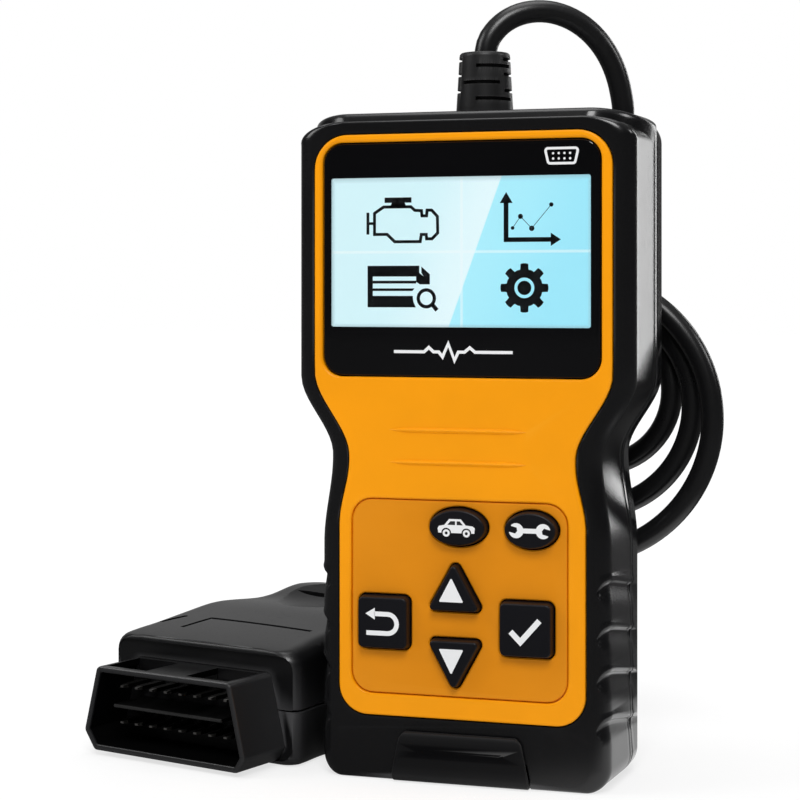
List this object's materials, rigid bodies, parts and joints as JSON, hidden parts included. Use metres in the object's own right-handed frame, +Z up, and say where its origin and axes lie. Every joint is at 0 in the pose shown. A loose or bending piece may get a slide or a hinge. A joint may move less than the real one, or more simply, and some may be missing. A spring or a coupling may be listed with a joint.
{
  "type": "handheld obd code reader",
  "caption": "Handheld vehicle fault-code reader: waisted upright housing with colour screen and keypad, coiled cable and a D-shaped diagnostic plug.",
  "frame": {"origin": "centre of the handset's flat bottom face, on the surface it stands on", "axes": "+Z up along the handset's height, the face looks along -Y, +X to the right seen from the front; the plug lies to the left at -X"},
  "size_m": [0.1319, 0.113, 0.1605],
  "materials": {
    "black_plastic": "satin",
    "black_rubber": "matte",
    "orange_plastic": "satin gloss",
    "dark_orange": "satin",
    "key_plastic": "satin gloss",
    "lens": "polished",
    "display": "backlit",
    "light_guide": "clear",
    "steel": "plated",
    "brass": "tinned",
    "pcb_green": "solder mask",
    "chip_black": "moulded",
    "connector_white": "moulded",
    "silicone_grey": "matte",
    "cable_jacket": "satin"
  },
  "bodies": {
    "handset": {"front_shell": "black_plastic", "back_shell": "black_plastic", "face_plate": "orange_plastic", "keypad_inlay": "dark_orange", "screen_lens": "lens", "lcd_frame": "steel", "lcd_panel": "display", "backlight": "light_guide", "main_pcb": "pcb_green", "mcu_chip": "chip_black", "can_transceiver_chip": "chip_black", "voltage_regulator": "chip_black", "clock_crystal": "steel", "supply_capacitor": "steel", "cable_header": "connector_white", "service_socket": "steel", "key_mat": "silicone_grey", "housing_screw_top_left": "steel", "housing_screw_top_right": "steel", "housing_screw_bottom_left": "steel", "housing_screw_bottom_right": "steel", "handset_boot": "black_rubber", "cable": "cable_jacket"},
    "vin_key": {"key_vin": "key_plastic"},
    "dtc_key": {"key_dtc": "key_plastic"},
    "up_key": {"key_up": "key_plastic"},
    "down_key": {"key_down": "key_plastic"},
    "back_key": {"key_back": "key_plastic"},
    "ok_key": {"key_ok": "key_plastic"},
    "port_flap": {"port_cover": "black_rubber"},
    "plug": {"plug_top_shell": "black_plastic", "plug_bottom_shell": "black_plastic", "plug_insert": "black_plastic", "plug_boot": "black_rubber", "pin_01": "brass", "pin_02": "brass", "pin_03": "brass", "pin_04": "brass", "pin_05": "brass", "pin_06": "brass", "pin_07": "brass", "pin_08": "brass", "pin_09": "brass", "pin_10": "brass", "pin_11": "brass", "pin_12": "brass", "pin_13": "brass", "pin_14": "brass", "pin_15": "brass", "pin_16": "brass"}
  },
  "joints": [
    {"name": "vin_key_press", "type": "slide", "parent": "handset", "child": "vin_key", "axis": [0, 1, 0], "range_m": [0, 0.001], "stiffness_N_per_m": 120},
    {"name": "dtc_key_press", "type": "slide", "parent": "handset", "child": "dtc_key", "axis": [0, 1, 0], "range_m": [0, 0.001], "stiffness_N_per_m": 120},
    {"name": "up_key_press", "type": "slide", "parent": "handset", "child": "up_key", "axis": [0, 1, 0], "range_m": [0, 0.001], "stiffness_N_per_m": 120},
    {"name": "down_key_press", "type": "slide", "parent": "handset", "child": "down_key", "axis": [0, 1, 0], "range_m": [0, 0.001], "stiffness_N_per_m": 120},
    {"name": "back_key_press", "type": "slide", "parent": "handset", "child": "back_key", "axis": [0, 1, 0], "range_m": [0, 0.001], "stiffness_N_per_m": 120},
    {"name": "ok_key_press", "type": "slide", "parent": "handset", "child": "ok_key", "axis": [0, 1, 0], "range_m": [0, 0.001], "stiffness_N_per_m": 120},
    {"name": "port_cover_hinge", "type": "hinge", "parent": "handset", "child": "port_flap", "pos_m": [0, -0.01375, 0.00965], "axis": [-1, 0, 0], "range_deg": [0, 100], "stiffness_Nm_per_rad": 0.002},
    {"name": "plug_swing", "type": "hinge", "parent": "handset", "child": "plug", "pos_m": [-0.03942, 0.07369, 0.0125], "axis": [0, 0, 1], "range_deg": [-35, 0]}
  ]
}
